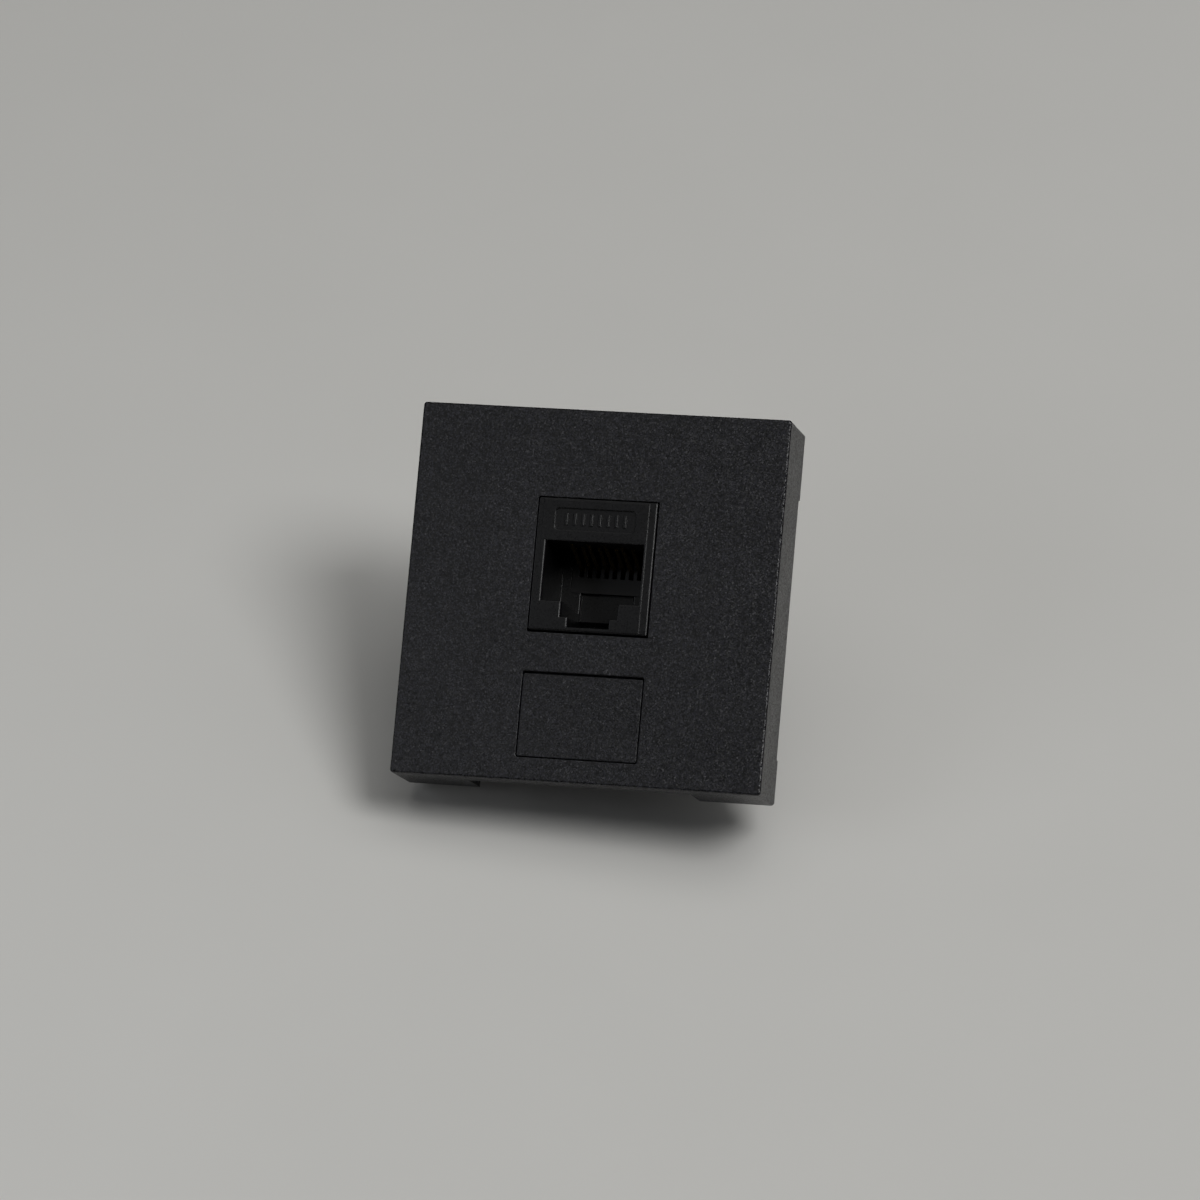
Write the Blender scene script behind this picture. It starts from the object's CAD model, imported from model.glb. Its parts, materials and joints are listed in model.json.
import json
import math

import bpy
from mathutils import Matrix, Vector

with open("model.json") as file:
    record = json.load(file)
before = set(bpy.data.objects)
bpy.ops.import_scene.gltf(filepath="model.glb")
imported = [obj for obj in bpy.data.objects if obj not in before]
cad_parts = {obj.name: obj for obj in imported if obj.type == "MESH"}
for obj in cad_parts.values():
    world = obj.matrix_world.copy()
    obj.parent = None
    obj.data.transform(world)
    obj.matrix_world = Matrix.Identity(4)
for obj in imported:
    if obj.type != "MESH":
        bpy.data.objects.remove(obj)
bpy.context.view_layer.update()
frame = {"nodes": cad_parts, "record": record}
nodes = frame["nodes"]
scene = bpy.context.scene


# ------------------------------------------------------------------ node helpers
class Tree:
    """Small helper that adds nodes to a material and wires them."""

    def __init__(self, name):
        self.mat = bpy.data.materials.new(name)
        self.mat.use_nodes = True
        self.nt = self.mat.node_tree
        self.nt.nodes.clear()
        self.out = self.nt.nodes.new("ShaderNodeOutputMaterial")
        self.coord = None

    def add(self, kind, **props):
        n = self.nt.nodes.new(kind)
        for k, v in props.items():
            setattr(n, k, v)
        return n

    def put(self, node, **values):
        for k, v in values.items():
            s = node.inputs[k.replace("_", " ")]
            if isinstance(v, bpy.types.NodeSocket):
                self.nt.links.new(v, s)
            else:
                s.default_value = v
        return node

    def link(self, a, b):
        self.nt.links.new(a, b)

    def place(self):
        if self.coord is None:
            self.coord = self.add("ShaderNodeTexCoord")
        return self.coord.outputs["Object"]

    def vector(self, op, a, b):
        n = self.add("ShaderNodeVectorMath", operation=op)
        for s, v in ((n.inputs[0], a), (n.inputs["Scale"] if op == "SCALE" else n.inputs[1], b)):
            if isinstance(v, bpy.types.NodeSocket):
                self.link(v, s)
            elif v is not None:
                s.default_value = v
        return n.outputs["Vector"]

    def soft_edges(self, radius):
        """Normal that rounds off the sharp edges of a moulding by a hair."""
        n = self.add("ShaderNodeBevel", samples=4)
        n.inputs["Radius"].default_value = radius
        return n.outputs["Normal"]

    def noise(self, scale, detail=2.0, rough=0.5, vector=None):
        n = self.add("ShaderNodeTexNoise")
        self.put(n, Scale=scale, Detail=detail, Roughness=rough)
        self.link(vector or self.place(), n.inputs["Vector"])
        return n.outputs["Fac"]

    def cells(self, scale):
        """A random colour for every small cell."""
        n = self.add("ShaderNodeTexVoronoi", feature="F1")
        self.put(n, Scale=scale)
        self.link(self.place(), n.inputs["Vector"])
        return n.outputs["Color"]

    def ramp(self, value, lo, hi, to_lo, to_hi, smooth=False):
        n = self.add("ShaderNodeMapRange", interpolation_type="SMOOTHSTEP" if smooth else "LINEAR")
        n.clamp = True
        self.link(value, n.inputs["Value"])
        for k, v in (("From Min", lo), ("From Max", hi), ("To Min", to_lo), ("To Max", to_hi)):
            n.inputs[k].default_value = v
        return n.outputs["Result"]

    def math(self, op, a, b):
        n = self.add("ShaderNodeMath", operation=op)
        for s, v in zip(n.inputs, (a, b)):
            if isinstance(v, bpy.types.NodeSocket):
                self.link(v, s)
            else:
                s.default_value = v
        return n.outputs[0]

    def blend(self, fac, a, b):
        n = self.add("ShaderNodeMix", data_type="RGBA")
        for s, v in ((n.inputs["Factor"], fac), (n.inputs[6], a), (n.inputs[7], b)):
            if isinstance(v, bpy.types.NodeSocket):
                self.link(v, s)
            else:
                s.default_value = v
        return n.outputs[2]

    def bump(self, height, strength, distance, normal=None):
        n = self.add("ShaderNodeBump")
        self.put(n, Strength=strength, Distance=distance)
        self.link(height, n.inputs["Height"])
        if normal is not None:
            self.link(normal, n.inputs["Normal"])
        return n.outputs["Normal"]

    def surface(self, **values):
        b = self.add("ShaderNodeBsdfPrincipled")
        self.put(b, **values)
        self.link(b.outputs["BSDF"], self.out.inputs["Surface"])
        return b


def rgb(r, g, b):
    return (r, g, b, 1.0)


# ------------------------------------------------------------------ materials
def rubbed_edge(t):
    """1 along the rounded front edge of the plate, where handling has polished it, else 0."""
    at = t.add("ShaderNodeSeparateXYZ")
    t.link(t.place(), at.inputs["Vector"])
    out = t.math("MAXIMUM", t.math("ABSOLUTE", at.outputs["X"], 0.0), t.math("ABSOLUTE", at.outputs["Z"], 0.0))
    return t.math("MULTIPLY", t.ramp(out, 0.02221, 0.02229, 0.0, 1.0), t.ramp(at.outputs["Y"], -0.00932, -0.00922, 1.0, 0.0))


def spark_plastic(name, lo, hi, rough, grain, lean, depth, rubbed=None):
    """Black moulding with the fine grain of a spark-eroded mould: small facets that each mirror the light their own way."""
    t = Tree(name)
    facet = t.cells(grain)
    fine = t.noise(grain * 1.6, 2.0, 0.6)
    patch = t.noise(160.0, 3.0, 0.55)
    tilt = t.vector("SCALE", t.vector("SUBTRACT", facet, (0.5, 0.5, 0.5)), lean)
    n = t.vector("NORMALIZE", t.vector("ADD", t.soft_edges(0.0001), tilt), None)
    n = t.bump(fine, 1.0, depth, n)
    own = t.add("ShaderNodeSeparateColor")
    t.link(facet, own.inputs["Color"])
    tone = t.math("ADD", t.math("MULTIPLY", own.outputs["Green"], 0.8), t.math("MULTIPLY", patch, 0.2))
    colour = t.blend(t.ramp(tone, 0.42, 0.92, 0.0, 1.0), rgb(*lo), rgb(*hi))
    r = t.ramp(t.math("ADD", t.math("MULTIPLY", fine, 0.5), t.math("MULTIPLY", patch, 0.5)), 0.3, 0.7, rough - 0.06, rough + 0.06)
    if rubbed is not None:
        r = t.math("SUBTRACT", r, t.math("MULTIPLY", rubbed_edge(t), rubbed))
    t.surface(Base_Color=colour, Roughness=r, Normal=n, Specular_IOR_Level=0.42)
    return t.mat


def smooth_plastic(name, lo, hi, rough, wave=0.000004):
    """Polished black moulding: faint flow marks and a slightly uneven gloss."""
    t = Tree(name)
    flow = t.noise(420.0, 3.0, 0.55)
    fine = t.noise(5200.0, 2.0, 0.6)
    height = t.math("ADD", flow, t.math("MULTIPLY", fine, 0.12))
    n = t.bump(height, 0.5, wave, t.soft_edges(0.00008))
    colour = t.blend(t.ramp(flow, 0.3, 0.7, 0.0, 1.0), rgb(*lo), rgb(*hi))
    r = t.ramp(fine, 0.3, 0.7, rough - 0.05, rough + 0.07)
    t.surface(Base_Color=colour, Roughness=r, Normal=n, Specular_IOR_Level=0.45)
    return t.mat


def plated_metal(name, lo, hi, rough, grain):
    """Plated strip with fine draw marks along its length."""
    t = Tree(name)
    m = t.add("ShaderNodeMapping")
    t.link(t.place(), m.inputs["Vector"])
    m.inputs["Scale"].default_value = (1.0, 0.12, 0.12)
    draw = t.noise(grain, 3.0, 0.6, m.outputs["Vector"])
    spot = t.noise(900.0, 2.0, 0.5)
    n = t.bump(draw, 0.5, 0.000004)
    colour = t.blend(t.ramp(spot, 0.3, 0.7, 0.0, 1.0), rgb(*lo), rgb(*hi))
    r = t.ramp(draw, 0.3, 0.7, rough - 0.07, rough + 0.1)
    t.surface(Base_Color=colour, Metallic=1.0, Roughness=r, Normal=n)
    return t.mat


def laminate(name):
    """Green solder mask over a faint glass weave."""
    t = Tree(name)
    weave = t.add("ShaderNodeTexWave", wave_type="BANDS", bands_direction="X")
    t.put(weave, Scale=900.0, Distortion=0.6)
    t.link(t.place(), weave.inputs["Vector"])
    cross = t.add("ShaderNodeTexWave", wave_type="BANDS", bands_direction="Y")
    t.put(cross, Scale=900.0, Distortion=0.6)
    t.link(t.place(), cross.inputs["Vector"])
    w = t.math("MULTIPLY", weave.outputs["Fac"], cross.outputs["Fac"])
    patch = t.noise(300.0, 2.0, 0.5)
    colour = t.blend(t.ramp(t.math("ADD", w, patch), 0.3, 1.5, 0.0, 1.0), rgb(0.012, 0.07, 0.03), rgb(0.03, 0.14, 0.06))
    n = t.bump(w, 0.3, 0.000005)
    t.surface(Base_Color=colour, Roughness=t.ramp(patch, 0.3, 0.7, 0.28, 0.4), Normal=n)
    return t.mat


plate_mat = spark_plastic("plate_plastic", (0.0006, 0.0006, 0.0012), (0.0225, 0.0225, 0.0290), 0.39, 6500.0, 0.32, 0.00002, 0.21)
jack_mat = smooth_plastic("jack_plastic", (0.0026, 0.0026, 0.0032), (0.0042, 0.0042, 0.0050), 0.3)
carrier_mat = smooth_plastic("carrier_plastic", (0.006, 0.006, 0.0064), (0.009, 0.009, 0.0096), 0.38)
terminal_mat = smooth_plastic("terminal_plastic", (0.009, 0.009, 0.0096), (0.014, 0.014, 0.015), 0.42)
cap_mat = spark_plastic("cap_plastic", (0.010, 0.010, 0.011), (0.020, 0.020, 0.0218), 0.44, 6500.0, 0.25, 0.00001)
gold_mat = plated_metal("contact_gold", (0.52, 0.34, 0.11), (0.68, 0.48, 0.19), 0.28, 9000.0)
tin_mat = plated_metal("blade_metal", (0.58, 0.57, 0.54), (0.74, 0.73, 0.70), 0.34, 9000.0)
board_mat = laminate("board_laminate")

by_slot = {
    "plate_plastic": plate_mat, "jack_plastic": jack_mat, "carrier_plastic": carrier_mat,
    "terminal_plastic": terminal_mat, "cap_plastic": cap_mat, "contact_gold": gold_mat,
    "blade_metal": tin_mat, "board_laminate": board_mat,
}
slot_of = {s["node"]: s["material_slot"] for s in frame["record"]["subparts"]}
for name, obj in nodes.items():
    obj.data.materials.clear()
    obj.data.materials.append(by_slot[slot_of[name]])

# ------------------------------------------------------------------ stage: pale floor, tilted as the module leans on it
UP = Vector((0.0950, -0.7670, 0.6347)).normalized()
FOOT = UP * -0.01825
side = (Vector((1.0, 0.0, 0.0)) - UP * UP.x).normalized()
deep = UP.cross(side)


def on_stage(turn, height, reach):
    """Point at that distance: turn from the viewer's side towards the right, height above the floor, in degrees."""
    a, e = math.radians(turn), math.radians(height)
    way = (side * math.sin(a) - deep * math.cos(a)) * math.cos(e) + UP * math.sin(e)
    return FOOT + way * reach


def floor_material():
    """Pale matt paper, seen from above only, fading out into the pale surroundings."""
    t = Tree("floor")
    d = t.add("ShaderNodeBsdfDiffuse")
    patch = t.noise(30.0, 3.0, 0.5)
    t.link(t.blend(t.ramp(patch, 0.3, 0.7, 0.0, 1.0), rgb(0.704, 0.698, 0.671), rgb(0.716, 0.710, 0.683)), d.inputs["Color"])
    gone = t.add("ShaderNodeBsdfTransparent")
    length = t.add("ShaderNodeVectorMath", operation="LENGTH")
    t.link(t.place(), length.inputs[0])
    edge = t.ramp(length.outputs["Value"], 0.24, 0.36, 0.0, 1.0, True)
    under = t.add("ShaderNodeNewGeometry").outputs["Backfacing"]
    mix = t.add("ShaderNodeMixShader")
    t.link(t.math("MAXIMUM", edge, under), mix.inputs["Fac"])
    t.link(d.outputs["BSDF"], mix.inputs[1])
    t.link(gone.outputs["BSDF"], mix.inputs[2])
    t.link(mix.outputs["Shader"], t.out.inputs["Surface"])
    return t.mat


ring = [(math.cos(i * math.tau / 96), math.sin(i * math.tau / 96)) for i in range(96)]
mesh = bpy.data.meshes.new("floor")
mesh.from_pydata([(0.37 * x, 0.37 * y, 0.0) for x, y in ring], [], [tuple(range(96))])
mesh.materials.append(floor_material())
floor = bpy.data.objects.new("floor", mesh)
floor.matrix_world = Matrix.Translation(FOOT) @ Matrix((side, deep, UP)).transposed().to_4x4()
floor.visible_shadow = False
scene.collection.objects.link(floor)

# ------------------------------------------------------------------ light
world = bpy.data.worlds.new("studio")
scene.world = world
world.use_nodes = True
wt = world.node_tree
bg = wt.nodes["Background"]
way = wt.nodes.new("ShaderNodeTexCoord").outputs["Generated"]


def sky(direction, lo, hi, to_lo, to_hi):
    """Soft step in brightness along a fixed direction of the room."""
    dot = wt.nodes.new("ShaderNodeVectorMath")
    dot.operation = "DOT_PRODUCT"
    wt.links.new(way, dot.inputs[0])
    dot.inputs[1].default_value = direction
    r = wt.nodes.new("ShaderNodeMapRange")
    r.interpolation_type = "SMOOTHSTEP"
    wt.links.new(dot.outputs["Value"], r.inputs["Value"])
    for k, v in (("From Min", lo), ("From Max", hi), ("To Min", to_lo), ("To Max", to_hi)):
        r.inputs[k].default_value = v
    return r.outputs["Result"]


over = sky(UP, 0.80, 0.97, 0.010, 0.69)
behind = sky(deep, 0.0, 0.7, 0.0, 0.05)
total = wt.nodes.new("ShaderNodeMath")
wt.links.new(over, total.inputs[0])
wt.links.new(behind, total.inputs[1])
wt.links.new(total.outputs[0], bg.inputs["Strength"])
bg.inputs["Color"].default_value = (1.0, 0.995, 0.975, 1.0)
seen = wt.nodes.new("ShaderNodeBackground")
seen.inputs["Color"].default_value = (0.408, 0.402, 0.382, 1.0)
path = wt.nodes.new("ShaderNodeLightPath")
pick = wt.nodes.new("ShaderNodeMixShader")
wt.links.new(path.outputs["Is Camera Ray"], pick.inputs["Fac"])
wt.links.new(bg.outputs["Background"], pick.inputs[1])
wt.links.new(seen.outputs["Background"], pick.inputs[2])
wt.links.new(pick.outputs["Shader"], wt.nodes["World Output"].inputs["Surface"])


def softbox(name, where, across, watts, colour=(1.0, 1.0, 1.0)):
    """Round soft light aimed at the module."""
    data = bpy.data.lights.new(name, "AREA")
    data.shape = "DISK"
    data.size = across
    data.energy = watts
    data.color = colour
    o = bpy.data.objects.new(name, data)
    o.location = where
    o.rotation_euler = (FOOT - where).to_track_quat("-Z", "Y").to_euler()
    scene.collection.objects.link(o)
    return o


softbox("key", on_stage(62.5, 58.2, 1.3), 0.56, 6.1)
softbox("top", on_stage(105.0, 65.0, 1.2), 1.1, 1.8)
softbox("fill", on_stage(-49.0, 37.0, 0.30), 0.14, 0.070, (0.92, 0.95, 1.0))
softbox("rear", FOOT + Vector((-0.35, 0.88, 0.32)).normalized() * 0.7, 0.5, 5.0)

# ------------------------------------------------------------------ camera
eye = Vector((0.1594, -0.7377, -0.1075))
ahead = Vector((-0.2101, 0.9673, 0.1423)).normalized()
up = Vector((-0.0566, -0.1573, 0.9859))
right = ahead.cross(up).normalized()
up = right.cross(ahead).normalized()
cam_data = bpy.data.cameras.new("camera")
cam_data.sensor_width = 36.0
cam_data.lens = 190.15
cam_data.clip_start, cam_data.clip_end = 0.01, 20.0
cam = bpy.data.objects.new("camera", cam_data)
m = Matrix((right, up, -ahead)).transposed().to_4x4()
m.translation = eye
cam.matrix_world = m
scene.collection.objects.link(cam)
scene.camera = cam
scene.view_settings.view_transform = "Standard"
scene.view_settings.look = "None"
